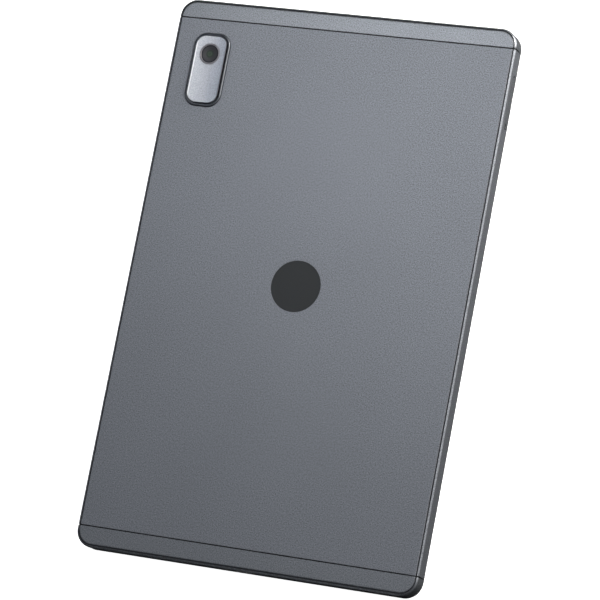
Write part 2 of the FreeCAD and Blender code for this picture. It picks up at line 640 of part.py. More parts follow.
def build():
    housing = shell(0.0, THICKNESS).cut(frame_groove())
    core = shell(SEAM_SINK, THICKNESS - SEAM_SINK)
    parts = {
        "rear_cover": rear_cover(housing),
        "top_cap": top_cap(housing),
        "bottom_cap": bottom_cap(housing),
        "top_seam": seam(core, SEAM_TOP_Y),
        "bottom_seam": seam(core, SEAM_BOTTOM_Y),
        "rear_badge": badge(),
        "cover_glass": cover_glass(),
        "glass_bond": glass_bond(),
        "display_bond": display_sheet(GLASS_T, BOND_T, 1.0),
        "lcd_panel": display_sheet(LCD_Z, LCD_T),
        "backlight": display_sheet(LIGHT_Z, LIGHT_T),
        "display_flex": display_flex(),
        "front_rim": front_rim(),
        "middle_frame": middle_frame(),
        "camera_surround": camera_surround(),
        "camera_plate": camera_plate(),
        "lens_ring": lens_ring(),
        "lens_window": lens_window(),
        "camera_module": camera_module(),
        "camera_barrel": camera_barrel(),
        "camera_flex": camera_flex(),
        "front_camera": front_camera(),
        "light_sensor": light_sensor(),
        "battery": battery(),
        "battery_tape": battery_tape(),
        "battery_guard": battery_guard(),
        "battery_lead": battery_lead(),
        "main_board": main_board(),
        "chips": chips(),
        "shield_cans": shield_cans(),
        "heat_sheet": heat_sheet(),
        "board_sockets": board_sockets(),
        "sub_board": sub_board(),
        "board_screws": board_screws(),
        "link_flex": link_flex(),
        "usb_shell": usb_shell(),
        "usb_tongue": usb_tongue(),
        "usb_contacts": usb_contacts(),
        "headphone_jack": jack(),
        "speaker_bottom": speaker(SPEAKER_BOTTOM_X, -1),
        "speaker_top": speaker(SPEAKER_TOP_X, 1),
        "speaker_mesh_bottom": speaker_mesh(SPEAKER_BOTTOM_X, -1),
        "speaker_mesh_top": speaker_mesh(SPEAKER_TOP_X, 1),
        "microphone_bottom": microphone(-1, SUB_TOP),
        "microphone_top": microphone(1, MAIN_TOP),
        "antenna_top": antenna(HALF_L - 6.4, -30.0, 20.0),
        "antenna_bottom": antenna(-HALF_L + 1.6, -14.0, 40.0),
        "power_button": power_button(),
        "volume_rocker": volume_rocker(),
        "key_switches": key_switches(),
        "key_flex": key_flex(),
        "key_bracket": key_bracket(),
        "card_tray": card_tray(),
        "card_reader": card_reader(),
        "eject_rod": eject_rod(),
        "eject_lever": eject_lever(),
    }
    return parts


def main():
    os.makedirs("parts", exist_ok=True)
    for name, shape in build().items():
        print(name, "valid" if shape.isValid() else "NOT VALID", len(shape.Solids), round(shape.Volume, 2))
        shape.exportStep(os.path.join("parts", name + ".step"))


main()
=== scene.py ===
"""Looks of the tablet computer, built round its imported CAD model.

Sizes below are in millimetres, in the CAD frame: X across the width, Y towards the camera end, Z out of the
rear cover. MM turns them into Blender's metres where a mesh, light or camera is made.
"""
import json
import math

import bmesh
import bpy
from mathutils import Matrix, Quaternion, Vector


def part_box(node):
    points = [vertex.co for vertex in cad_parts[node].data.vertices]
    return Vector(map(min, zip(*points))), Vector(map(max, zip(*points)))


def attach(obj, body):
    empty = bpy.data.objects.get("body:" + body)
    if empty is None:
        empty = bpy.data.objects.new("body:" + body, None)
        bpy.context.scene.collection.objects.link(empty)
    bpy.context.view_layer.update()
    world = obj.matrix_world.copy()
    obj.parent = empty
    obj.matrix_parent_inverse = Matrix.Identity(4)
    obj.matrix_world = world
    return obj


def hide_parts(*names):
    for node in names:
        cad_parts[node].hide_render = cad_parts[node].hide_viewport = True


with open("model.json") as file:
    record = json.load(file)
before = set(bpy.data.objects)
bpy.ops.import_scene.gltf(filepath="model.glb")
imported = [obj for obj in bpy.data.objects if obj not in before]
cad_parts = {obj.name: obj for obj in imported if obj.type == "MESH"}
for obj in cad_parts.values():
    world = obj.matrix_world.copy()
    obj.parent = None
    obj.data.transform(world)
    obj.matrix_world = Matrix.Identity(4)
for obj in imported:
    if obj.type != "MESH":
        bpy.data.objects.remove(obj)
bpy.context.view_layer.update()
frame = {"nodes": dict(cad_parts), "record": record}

MM = 0.001


def node_box(node):
    """Lowest and highest corner of a CAD node, in millimetres."""
    low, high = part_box(node)
    return low / MM, high / MM


# ---------------------------------------------------------------- sizes, worked out from the frame
RIM_LOW, RIM_HIGH = node_box("front_rim")
COVER_LOW, COVER_HIGH = node_box("rear_cover")
HALF_W, HALF_L = RIM_HIGH.x, RIM_HIGH.y
TOP_Z = COVER_HIGH.z
SHELL_RIM_Z = COVER_LOW.z
CORNER_R = 6.7                       # the body's plan corners
EDGE_R = 0.64                        # softened chamfer between side wall and rear face
GROOVE_W, GROOVE_D = 0.48, 0.34      # flat bottom of the line that frames the rear face
LIP_W, LIP_D = 0.48, 0.24            # soft rounding from that line up to the rear face
WALL_BOW, WALL_WIDEST_Z = 0.14, 5.6  # the side wall curves in by this much towards the glass
BOW_STEPS = 6
WALL, BACK = 1.0, 0.9
SEAM_SINK = 0.28                     # the filler strip lies this far below the housings
SEAM_EXTRA = 0.04                    # each housing stops this much short of the seam, as a shadow gap
GLASS_EDGE_R = 0.35
RIM_R = 0.5                          # rounding under the front rim

PLATE_LOW, PLATE_HIGH = node_box("camera_plate")
RING_LOW, RING_HIGH = node_box("camera_surround")
ISLAND_CENTRE = (PLATE_LOW.x + PLATE_HIGH.x) / 2, (PLATE_LOW.y + PLATE_HIGH.y) / 2
ISLAND_W, ISLAND_H, ISLAND_R = 15.2, 29.2, 5.25      # camera surround, without its hidden flange
RING_FLANGE = 1.0                    # that flange reaches this far past it
RING_WALL, RING_CREST, RING_INNER = 0.15, 0.42, 1.0  # insets of its outer wall, highest line and inner wall
RING_EDGE_DROP, RING_STEP_DROP = 0.28, 0.46          # depths of its slope and of its step below the crest
PLATE_R = 3.85
LENS_LOW, LENS_HIGH = node_box("lens_ring")
LENS_CENTRE = (LENS_LOW.x + LENS_HIGH.x) / 2, (LENS_LOW.y + LENS_HIGH.y) / 2
LENS_RING_R = (LENS_HIGH.x - LENS_LOW.x) / 2
LENS_R = 3.5
DISPLAY_HALF_W, DISPLAY_HALF_L = 57.0, 96.0          # lit part of the front
FRONT_EYE, FRONT_SENSOR = (0.0, 103.0), (12.0, 103.0)

SPEAKER_SLOTS, SLOT_PITCH, SLOT_SIZE = 9, 2.45, (1.9, 1.2)
CUT_DEPTH = 2.5                      # slots and holes are cut this deep from the outside
MIC_R, JACK_R, JACK_NOSE_R = 0.5, 1.8, 2.1
JACK_BORE = 14.2                     # depth of the socket
JACK_FLARE = 0.45                    # the socket's mouth widens by this much and just cuts the chamfer
USB_T = 0.3
KEY_FLANGE, KEY_FLANGE_Z, KEY_GAP = 1.0, 0.6, 0.15   # a key's flange stands out this far round its cap
KEY_FLANGE_T, KEY_FLANGE_R, KEY_EDGE_R = 0.5, 0.3, 0.22
NUB = (2.0, 1.6, 0.2)                # width, height and corner radius of the nub that meets a switch
POWER_NUB_DEPTH, POWER_NUBS = 0.6, (0.0,)            # how far nubs stand out behind the flange, and
VOLUME_NUB_DEPTH, VOLUME_NUBS = 0.4, (-7.0, 7.0)     # where they sit along the key
TRAY_GAP, TRAY_GAP_Z = 0.34, 0.10    # gap at the ends of the card tray, and above and below it
PIN_Y, PIN_R, PIN_FLARE = 72.0, 0.45, 0.2             # pin hole of the card tray, opened out at its mouth
TRAY_LOW, TRAY_HIGH = node_box("card_tray")
JACK_BOX = node_box("headphone_jack")
SEAM_ENDS = (node_box("bottom_cap")[1].y - SEAM_EXTRA, COVER_LOW.y + SEAM_EXTRA,
             COVER_HIGH.y - SEAM_EXTRA, node_box("top_cap")[0].y + SEAM_EXTRA)

CORNER_STEPS = 20                    # segments in each plan corner
ROUND_STEPS = 8                      # segments in a small rounding
NODE_BEVEL = 0.05                    # widest edge bevel on the CAD pieces that stay
LEAST_R = 0.01                       # sharp corners get this radius, so that every outline has as many points

CAMERA_AIM, CAMERA_DISTANCE = (1.19, -3.35, 4.0), 1332.64
CAMERA_AZIMUTH, CAMERA_ELEVATION, CAMERA_ROLL = 65.71, 66.72, -56.60    # degrees
CAMERA_LENS, CAMERA_SENSOR = 213.26, 36.0

# The studio is laid out in metres.
FLOOR_SIDES = 96
FLOOR_DROP = 0.0002                  # keeps the floor clear of the glass
FLOOR_SWEEP = [(2.4, 0.0), (2.7, 0.06), (2.9, 0.2), (3.0, 0.45), (3.0, 4.0)]     # (radius, height)
WHITE, WARM, WARMER = (1.0, 1.0, 1.0), (1.0, 0.97, 0.92), (1.0, 0.97, 0.90)
LIGHTS = [                           # name, place, aim, width, power in watts, colour
    ("key", (-0.13, 0.20, 0.50), (0.03, 0.06, 0), 0.16, 0.98, WHITE),
    ("broad", (0.55, 0.75, 0.70), (0, 0, 0), 0.6, 2.8, WHITE),
    ("side", (0.35, 0.33, 0.11), (0.06, 0.08, 0), 0.20, 4.6, WARMER),
    ("edge", (0.56, 0.02, 0.30), (0.07, -0.08, 0), 0.12, 1.5, WARM),
    ("front", (-0.12, -0.60, 0.14), (0, -0.1, 0), 0.15, 0.12, WHITE),
    ("left", (-0.60, 0.10, 0.12), (-0.07, 0.05, 0), 0.20, 0.9, WHITE),
]
SKY_BRIGHTEST = (0.10, 0.40, 0.91)   # the sky is brightest in this direction and fades away from it
SKY_FADE = {"From Min": 0.05, "From Max": 1.0, "To Min": 0.01, "To Max": 0.44}
SKY_COLOUR = (0.90, 0.94, 1.0, 1.0)


# ---------------------------------------------------------------- mesh helpers


def middle_of(box, axes):
    """Middle of a box along the named axes, such as "xz"."""
    low, high = box
    return tuple((getattr(low, axis) + getattr(high, axis)) / 2 for axis in axes)


def outline(width, height, radius, centre, steps):
    """Points of a rounded rectangle, anticlockwise, always 4 * (steps + 1) of them."""
    radius = max(radius, LEAST_R)
    points = []
    for corner in range(4):
        turn = math.pi / 2 * corner
        cx = (width / 2 - radius) * (1 if corner in (0, 3) else -1)
        cy = (height / 2 - radius) * (1 if corner in (0, 1) else -1)
        for i in range(steps + 1):
            angle = turn + math.pi / 2 * i / steps
            x = centre[0] + cx + radius * math.cos(angle)
            y = centre[1] + cy + radius * math.sin(angle)
            points.append((x, y))
    return points


def facing_up(u, v, depth):
    return u, v, depth


def facing_end(u, v, depth):
    """For a section that lies in a wall facing along Y: u runs along X and v along Z."""
    return u, depth, v


def facing_side(u, v, depth):
    """For a section that lies in a wall facing along X: u runs along Y and v along Z."""
    return depth, u, v


def loft(name, sections, centre=(0.0, 0.0), to_point=facing_up, closed=False, steps=CORNER_STEPS):
    """A solid through rounded-rectangle sections (width, height, radius, depth).

    An open run of sections is capped at both ends. A closed run is a ring with nothing in its middle.
    """
    bm = bmesh.new()
    loops = []
    for width, height, radius, depth in sections:
        points = outline(width, height, radius, centre, steps)
        loops.append([bm.verts.new(Vector(to_point(u, v, depth)) * MM) for u, v in points])
    pairs = list(zip(loops, loops[1:]))
    if closed:
        pairs.append((loops[-1], loops[0]))
    for lower, upper in pairs:
        for i in range(len(lower)):
            j = (i + 1) % len(lower)
            bm.faces.new((lower[i], lower[j], upper[j], upper[i]))
    if not closed:
        bm.faces.new(list(reversed(loops[0])))
        bm.faces.new(loops[-1])
    bmesh.ops.recalc_face_normals(bm, faces=bm.faces)
    return new_object(name, bm)


def lathe(name, profile, centre, steps=96, closed=False):
    """A solid turned about a line along Z through centre. profile is a list of (radius, z).

    An open profile is capped at both ends. A closed one is a ring with a hole through it.
    """
    bm = bmesh.new()
    rings = []
    for radius, z in profile:
        ring = []
        for i in range(steps):
            angle = 2 * math.pi * i / steps
            x, y = centre[0] + radius * math.cos(angle), centre[1] + radius * math.sin(angle)
            ring.append(bm.verts.new(Vector((x, y, z)) * MM))
        rings.append(ring)
    pairs = list(zip(rings, rings[1:]))
    if closed:
        pairs.append((rings[-1], rings[0]))
    for lower, upper in pairs:
        for i in range(steps):
            j = (i + 1) % steps
            bm.faces.new((lower[i], lower[j], upper[j], upper[i]))
    if not closed:
        bm.faces.new(list(reversed(rings[0])))
        bm.faces.new(rings[-1])
    bmesh.ops.recalc_face_normals(bm, faces=bm.faces)
    return new_object(name, bm)


def new_object(name, bm):
    mesh = bpy.data.meshes.new(name)
    bm.to_mesh(mesh)
    bm.free()
    obj = bpy.data.objects.new(name, mesh)
    bpy.context.scene.collection.objects.link(obj)
    return obj


def bake(obj):
    """Replaces obj's mesh by what its modifiers make of it."""
    graph = bpy.context.evaluated_depsgraph_get()
    mesh = bpy.data.meshes.new_from_object(obj.evaluated_get(graph))
    obj.modifiers.clear()
    old = obj.data
    obj.data = mesh
    bpy.data.meshes.remove(old)


def combine(obj, tool, operation):
    """obj with tool taken away (DIFFERENCE) or only where both are (INTERSECT). The tool is used up."""
    change = obj.modifiers.new("combine", "BOOLEAN")
    change.object = tool
    change.operation = operation
    change.solver = "EXACT"
    bake(obj)
    bpy.data.objects.remove(tool)


def smooth(obj, bevel=0.0):
    """Rounds the sharp edges by bevel, and shades curved faces smooth and flat ones flat."""
    if bevel:
        edge = obj.modifiers.new("edge", "BEVEL")
        edge.width = bevel * MM
        edge.segments = 2
        edge.limit_method = "ANGLE"
        edge.angle_limit = math.radians(50)
        edge.use_clamp_overlap = False
        edge.miter_outer = "MITER_ARC"
        bake(obj)
    obj.data.shade_smooth()
    obj.data.set_sharp_from_angle(angle=math.radians(35))
    even = obj.modifiers.new("even", "WEIGHTED_NORMAL")
    even.mode = "FACE_AREA"
    even.weight = 50
    even.keep_sharp = True
    return obj


def arc(inset, z, radius, start, stop, steps=ROUND_STEPS):
    """Points (inset, z) on an arc centred on (inset, z), from one angle to another in degrees."""
    points = []
    for i in range(steps + 1):
        angle = math.radians(start + (stop - start) * i / steps)
        points.append((inset - radius * math.cos(angle), z + radius * math.sin(angle)))
    return points


def inset_sections(half_w, half_h, radius, profile):
    """Sections of a rounded rectangle, from (inset, z) points."""
    return [(2 * (half_w - inset), 2 * (half_h - inset), radius - inset, z) for inset, z in profile]


def body_sections(profile):
    return inset_sections(HALF_W, HALF_L, CORNER_R, profile)


def round_sections(points):
    """Sections of a round bar, from (radius, depth) points."""
    return [(2 * radius, 2 * radius, radius, depth) for radius, depth in points]


# ---------------------------------------------------------------- material helpers


class Graph:
    """A material's node tree, with short ways to add nodes and join them."""

    def __init__(self, name):
        self.material = bpy.data.materials.new(name)
        self.material.use_nodes = True
        self.tree = self.material.node_tree
        self.shader = self.tree.nodes["Principled BSDF"]
        self.place = self.add("ShaderNodeTexCoord").outputs["Object"]

    def add(self, kind, inputs=(), **settings):
        """A new node. inputs is a dict of socket name or number to a value, or to a socket to join."""
        node = self.tree.nodes.new(kind)
        for key, value in settings.items():
            setattr(node, key, value)
        for key, value in dict(inputs).items():
            self.put(node.inputs[key], value)
        return node

    def put(self, socket, value):
        if isinstance(value, bpy.types.NodeSocket):
            self.tree.links.new(value, socket)
        else:
            socket.default_value = value

    def noise(self, scale, detail=2.0, stretch=(1.0, 1.0, 1.0)):
        """Noise with features of about 1 / scale metres, drawn out where stretch is small."""
        spread = self.add("ShaderNodeMapping", {"Vector": self.place, "Scale": stretch})
        made = self.add("ShaderNodeTexNoise", {"Vector": spread.outputs[0], "Scale": scale, "Detail": detail})
        return made.outputs[0]

    def cells(self, scale):
        made = self.add("ShaderNodeTexVoronoi", {"Vector": self.place, "Scale": scale})
        return made.outputs["Distance"]

    def bands(self, scale, direction):
        inputs = {"Vector": self.place, "Scale": scale}
        made = self.add("ShaderNodeTexWave", inputs, bands_direction=direction)
        return made.outputs["Fac"]

    def math(self, operation, a, b=0.0):
        return self.add("ShaderNodeMath", {0: a, 1: b}, operation=operation).outputs[0]

    def blend(self, *parts):
        """Sum of (value, weight) pairs."""
        terms = [self.math("MULTIPLY", value, weight) for value, weight in parts]
        total = terms[0]
        for term in terms[1:]:
            total = self.math("ADD", total, term)
        return total

    def span(self, value, low, high, start=0.0, stop=1.0):
        """value mapped from start..stop to low..high."""
        inputs = {"Value": value, "From Min": start, "From Max": stop, "To Min": low, "To Max": high}
        return self.add("ShaderNodeMapRange", inputs).outputs[0]

    def mix(self, factor, a, b):
        node = self.add("ShaderNodeMix", {"Factor": factor}, data_type="RGBA")
        self.put(node.inputs["A"], a)
        self.put(node.inputs["B"], b)
        return node.outputs["Result"]

    def far_from(self, x, y):
        """Distance in millimetres from the line along Z through a point."""
        start = Vector((x, y, 0)) * MM
        offset = self.add("ShaderNodeVectorMath", {0: self.place, 1: start}, operation="SUBTRACT").outputs[0]
        weight = Vector((1, 1, 0)) / MM
        scaled = self.add("ShaderNodeVectorMath", {0: offset, 1: weight}, operation="MULTIPLY").outputs[0]
        return self.add("ShaderNodeVectorMath", {0: scaled}, operation="LENGTH").outputs["Value"]

    def inside_box(self, half_x, half_y, blur):
        """1 within a box about the origin seen along Z, 0 outside, over a soft edge; sizes in millimetres."""
        parts = self.add("ShaderNodeSeparateXYZ", {0: self.place})
        masks = []
        for axis, half in ((0, half_x), (1, half_y)):
            away = self.math("ABSOLUTE", parts.outputs[axis])
            masks.append(self.span(away, 1.0, 0.0, (half - blur) * MM, (half + blur) * MM))
        return self.math("MULTIPLY", masks[0], masks[1])

    def relief(self, height, strength, depth=0.05):
        """A bump of about depth millimetres."""
        inputs = {"Height": height, "Strength": strength, "Distance": depth * MM}
        self.put(self.shader.inputs["Normal"], self.add("ShaderNodeBump", inputs).outputs[0])

    def set(self, **values):
        """Sets shader inputs, named in small letters with an underscore for each space."""
        for key, value in values.items():
            self.put(self.shader.inputs[key.replace("_", " ").title().replace("Ior", "IOR")], value)

    def shade(self, colour, amount, pattern):
        """colour made up to amount lighter or darker by a 0..1 pattern."""
        dark = [c * (1 - amount) for c in colour] + [1.0]
        light = [c * (1 + amount) for c in colour] + [1.0]
        return self.mix(pattern, dark, light)


def grained(name, colour, roughness, metallic=0.0, scale=1800.0, tint=0.25, gloss=0.12, bump=0.25,
            coat=0.0, specular=0.5, stretch=(1.0, 1.0, 1.0)):
    """A plain finish: fine grain over a slow drift, in tint, gloss and height."""
    g = Graph(name)
    fine = g.noise(scale, 2.0, stretch)
    slow = g.noise(60.0, 3.0)
    pattern = g.blend((fine, 0.7), (slow, 0.3))
    g.set(base_color=g.shade(colour, tint, pattern), metallic=metallic, specular_ior_level=specular)
    g.set(roughness=g.span(pattern, roughness - gloss, roughness + gloss, 0.25, 0.75))
    if coat:
        g.set(coat_weight=coat, coat_roughness=0.12)
    g.relief(fine, bump, 0.02)
    return g.material


# ---------------------------------------------------------------- materials


def cover_paint(name, colour, metallic, roughness):
    """Bead-blasted metal or paint matched to it: a speckle of fine light and dark grains."""
    g = Graph(name)
    speck = g.span(g.noise(2500.0, 3.0), 0.0, 1.0, 0.33, 0.67)
    grain = g.noise(1300.0, 2.0)
    drift = g.noise(25.0, 2.0)
    pattern = g.blend((speck, 0.80), (grain, 0.10), (drift, 0.10))
    g.set(base_color=g.shade(colour, 0.50, pattern), metallic=metallic)
    g.set(roughness=g.span(pattern, roughness + 0.05, roughness - 0.05))
    g.relief(speck, 0.15, 0.02)
    return g.material


def cover_metal():
    return cover_paint("cover_metal", (0.124, 0.133, 0.152), 0.55, 0.50)


def cap_paint():
    return cover_paint("cap_paint", (0.124, 0.133, 0.149), 0.60, 0.42)


def key_paint():
    return cover_paint("key_paint", (0.130, 0.139, 0.156), 0.65, 0.42)


def groove_shadow():
    """Painted shade: near-black for the bottom of the line that frames the rear face, and for the other
    recesses it is given to.
    """
    return grained("groove_shadow", (0.009, 0.010, 0.013), 0.65, scale=2600.0, tint=0.3, specular=0.3)


def seam_filler():
    return grained("seam_filler", (0.007, 0.008, 0.011), 0.60, scale=2600.0, tint=0.3, specular=0.25)


def rim_paint():
    return grained("rim_paint", (0.060, 0.065, 0.075), 0.42, metallic=0.3, scale=2600.0, tint=0.3)


def frame_moulding():
    return grained("frame_moulding", (0.020, 0.021, 0.024), 0.55, scale=900.0, tint=0.35, bump=0.4)


def badge_gloss():
    return grained("badge_gloss", (0.0155, 0.0175, 0.0195), 0.52, scale=2600.0, tint=0.2, gloss=0.05,
                   bump=0.05, specular=0.18)


def front_glass():
    """Polished glass over a black printed border, with the slightly lighter display behind it."""
    g = Graph("front_glass")
    view = g.inside_box(DISPLAY_HALF_W, DISPLAY_HALF_L, 0.15)
    smears = g.noise(40.0, 4.0, (1.0, 0.4, 1.0))
    pixels = g.math("MULTIPLY", g.bands(3000.0, "X"), g.bands(3000.0, "Y"))
    border = (0.0030, 0.0030, 0.0034, 1.0)
    panel = g.mix(pixels, (0.0075, 0.0080, 0.0095, 1.0), (0.0115, 0.0120, 0.0140, 1.0))
    colour = g.mix(view, border, panel)
    eye = g.far_from(*FRONT_EYE)
    iris = g.math("MULTIPLY", g.span(eye, 1.0, 0.0, 1.15, 1.25), g.span(eye, 0.0, 1.0, 0.55, 0.65))
    colour = g.mix(iris, colour, (0.020, 0.022, 0.034, 1.0))
    sensor = g.span(g.far_from(*FRONT_SENSOR), 1.0, 0.0, 0.75, 0.85)
    colour = g.mix(sensor, colour, (0.016, 0.008, 0.012, 1.0))
    g.set(base_color=colour, roughness=g.span(smears, 0.03, 0.09, 0.3, 0.7), coat_weight=0.6)
    g.set(coat_roughness=0.02, specular_ior_level=0.5)
    return g.material


def ring_lacquer():
    """Dark lacquer of the ring round the camera plate."""
    g = Graph("ring_lacquer")
    wear = g.noise(700.0, 3.0)
    g.set(base_color=g.shade((0.028, 0.034, 0.047), 0.3, wear), specular_ior_level=0.3)
    g.set(roughness=g.span(wear, 0.40, 0.50, 0.3, 0.7), coat_weight=0.25, coat_roughness=0.25)
    g.relief(wear, 0.1, 0.02)
    return g.material


def ring_edge():
    """Polished slope round the outside of that ring."""
    return grained("ring_edge", (0.080, 0.086, 0.097), 0.45, metallic=0.6, scale=1500.0, tint=0.2, bump=0.05)


def plate_metal():
    """Satin silver, brushed along its length, with painted light: lighter towards its outer side and darker
    and a little bluer towards its inner side, a painted highlight along its outer edge and painted shade
    along its inner edge.
    """
    g = Graph("plate_metal")
    brushed = g.noise(1400.0, 4.0, (3.0, 0.03, 3.0))
    speck = g.span(g.noise(2500.0, 1.0), 0.0, 1.0, 0.30, 0.70)
    pattern = g.blend((brushed, 0.4), (speck, 0.6))
    across = g.add("ShaderNodeSeparateXYZ", {0: g.place}).outputs["X"]
    # painted light: the plate's colour runs from lit at its outer (-X) side to shaded and bluer at its inner
    # side
    fade = g.span(across, 0.0, 1.0, PLATE_LOW.x * MM, PLATE_HIGH.x * MM)
    painted_lit_tone = g.shade((0.375, 0.388, 0.418), 0.25, pattern)
    painted_shaded_tone = g.shade((0.165, 0.180, 0.212), 0.25, pattern)
    face = g.mix(fade, painted_lit_tone, painted_shaded_tone)
    # painted highlight along the plate's outer edge
    face = g.mix(g.span(fade, 1.0, 0.0, 0.02, 0.05), face, (0.70, 0.71, 0.73, 1.0))
    # painted shade along the plate's inner edge
    g.set(base_color=g.mix(g.span(fade, 0.0, 1.0, 0.96, 0.99), face, (0.07, 0.075, 0.09, 1.0)), metallic=0.75)
    g.set(roughness=g.span(pattern, 0.50, 0.44))
    g.relief(pattern, 0.06, 0.02)
    return g.material


def lens_metal():
    """Turned ring with fine concentric tool marks."""
    g = Graph("lens_metal")
    away = g.far_from(*LENS_CENTRE)
    marks = g.math("SINE", g.math("MULTIPLY", away, 60.0))
    speck = g.noise(1500.0, 3.0)
    pattern = g.math("ADD", g.span(marks, 0.0, 0.5, -1.0, 1.0), g.math("MULTIPLY", speck, 0.5))
    g.set(base_color=g.shade((0.132, 0.130, 0.146), 0.15, pattern), metallic=0.5)
    g.set(roughness=g.span(pattern, 0.44, 0.54, 0.2, 0.8))
    g.relief(pattern, 0.08, 0.02)
    return g.material


def lens_glass():
    """Coated glass: black printed rim, then a painted reflection of the coating, dark violet, greener towards
    the middle.
    """
    g = Graph("lens_glass")
    away = g.far_from(*LENS_CENTRE)
    dust = g.noise(900.0, 3.0)
    ramp = g.add("ShaderNodeValToRGB", {0: g.math("DIVIDE", away, LENS_R)})
    # colours by radius: the black printed rim, and inside it a painted reflection of the lens coating
    stops = [
        (0.0, (0.020, 0.034, 0.024)), (0.16, (0.028, 0.042, 0.032)), (0.26, (0.030, 0.038, 0.034)),
        (0.34, (0.019, 0.026, 0.021)), (0.48, (0.032, 0.034, 0.037)), (0.80, (0.031, 0.031, 0.036)),
        (0.92, (0.014, 0.014, 0.018)),
    ]
    while len(ramp.color_ramp.elements) < len(stops):
        ramp.color_ramp.elements.new(0.5)
    for element, (position, colour) in zip(ramp.color_ramp.elements, stops):
        element.position = position
        element.color = (*colour, 1.0)
    g.set(base_color=ramp.outputs[0], roughness=g.span(dust, 0.40, 0.52, 0.3, 0.7), specular_ior_level=0.10)
    return g.material


def display_sheet():
    """The liquid crystal panel: a dark sheet with the fine grid of its cells."""
    g = Graph("display_sheet")
    grid = g.math("MULTIPLY", g.bands(2200.0, "X"), g.bands(2200.0, "Y"))
    drift = g.noise(30.0, 3.0)
    g.set(base_color=g.shade((0.022, 0.024, 0.030), 0.4, grid), roughness=g.span(drift, 0.12, 0.22))
    return g.material


def backlight_tray():
    return grained("backlight_tray", (0.62, 0.63, 0.65), 0.36, metallic=0.8, scale=900.0, tint=0.12,
                   stretch=(1.0, 0.05, 1.0))


def black_moulding():
    return grained("black_moulding", (0.016, 0.016, 0.018), 0.48, scale=1300.0, tint=0.35, bump=0.35)


def circuit_board():
    """Solder mask over copper: straight tracks, with pads and vias between them."""
    g = Graph("circuit_board")
    inputs = {"Vector": g.place, "Scale": 260.0, "Mortar Size": 0.06, "Brick Width": 0.9, "Row Height": 0.35}
    tracks = g.add("ShaderNodeTexBrick", inputs).outputs["Fac"]
    vias = g.span(g.cells(420.0), 1.0, 0.0, 0.10, 0.14)
    mottle = g.noise(220.0, 4.0)
    mask = g.shade((0.006, 0.040, 0.026), 0.35, mottle)
    mask = g.mix(tracks, mask, (0.016, 0.085, 0.052, 1.0))
    g.set(base_color=g.mix(vias, mask, (0.62, 0.48, 0.22, 1.0)), metallic=g.math("MULTIPLY", vias, 0.9))
    g.set(roughness=g.span(mottle, 0.26, 0.42, 0.3, 0.7))
    g.relief(g.math("ADD", tracks, vias), 0.4, 0.03)
    return g.material


def chip_epoxy():
    return grained("chip_epoxy", (0.018, 0.018, 0.020), 0.55, scale=2600.0, tint=0.4, bump=0.4)


def ribbon_film():
    """Amber polyimide with a row of copper tracks showing through."""
    g = Graph("ribbon_film")
    tracks = g.math("GREATER_THAN", g.bands(420.0, "X"), 0.55)
    mottle = g.noise(300.0, 3.0)
    film = g.shade((0.190, 0.070, 0.014), 0.25, mottle)
    g.set(base_color=g.mix(tracks, film, (0.360, 0.160, 0.050, 1.0)), roughness=g.span(mottle, 0.26, 0.40))
    g.relief(tracks, 0.3, 0.02)
    return g.material


def battery_foil():
    """Laminated silver-grey pouch foil, faintly creased."""
    g = Graph("battery_foil")
    crease = g.noise(70.0, 5.0, (1.0, 0.5, 1.0))
    speck = g.noise(1600.0, 2.0)
    g.set(base_color=g.shade((0.085, 0.088, 0.094), 0.25, crease), metallic=0.55)
    g.set(roughness=g.span(speck, 0.32, 0.48, 0.3, 0.7))
    g.relief(g.math("ADD", crease, g.math("MULTIPLY", speck, 0.1)), 0.5, 0.15)
    return g.material


def white_adhesive():
    return grained("white_adhesive", (0.62, 0.61, 0.58), 0.7, scale=500.0, tint=0.10, bump=0.4)


def optical_adhesive():
    return grained("optical_adhesive", (0.30, 0.31, 0.32), 0.15, scale=300.0, tint=0.06, bump=0.05, coat=0.5)


def graphite_foil():
    return grained("graphite_foil", (0.050, 0.050, 0.053), 0.38, metallic=0.5, scale=1200.0, tint=0.3,
                   stretch=(1.0, 0.2, 1.0))


def tinned_steel():
    return grained("tinned_steel", (0.56, 0.56, 0.55), 0.34, metallic=0.95, scale=700.0, tint=0.14,
                   stretch=(0.06, 1.0, 1.0))


def screw_steel():
    return grained("screw_steel", (0.40, 0.40, 0.41), 0.28, metallic=0.95, tint=0.2)


def port_steel():
    return grained("port_steel", (0.42, 0.42, 0.43), 0.30, metallic=0.95, scale=1100.0, tint=0.16,
                   stretch=(1.0, 0.15, 1.0))


def contact_gold():
    return grained("contact_gold", (0.80, 0.56, 0.22), 0.26, metallic=0.98, scale=1600.0, tint=0.12)


def mesh_weave():
    """Fine black woven mesh."""
    g = Graph("mesh_weave")
    warp, weft = g.bands(1300.0, "X"), g.bands(1300.0, "Z")
    weave = g.math("MAXIMUM", warp, weft)
    g.set(base_color=g.shade((0.020, 0.020, 0.022), 0.6, weave), roughness=g.span(weave, 0.75, 0.5))
    g.relief(weave, 0.8, 0.06)
    return g.material


# Finish of each record slot.
FINISHES = {
    "rear_metal": cover_metal, "cap_plastic": cap_paint, "seam_plastic": seam_filler,
    "badge_film": badge_gloss, "cover_glass": front_glass, "adhesive": white_adhesive,
    "clear_adhesive": optical_adhesive, "lcd": display_sheet, "backlight_tray": backlight_tray,
    "flex_film": ribbon_film, "rim_plastic": rim_paint, "frame_plastic": frame_moulding,
    "camera_ring": ring_lacquer, "camera_metal": plate_metal, "lens_metal": lens_metal,
    "lens_glass": lens_glass, "black_module": black_moulding, "battery_pouch": battery_foil,
    "board": circuit_board, "chip": chip_epoxy, "shield_steel": tinned_steel,
    "graphite": graphite_foil, "screw_steel": screw_steel, "port_steel": port_steel,
    "contact_gold": contact_gold, "mesh_fabric": mesh_weave, "key_metal": key_paint,
}


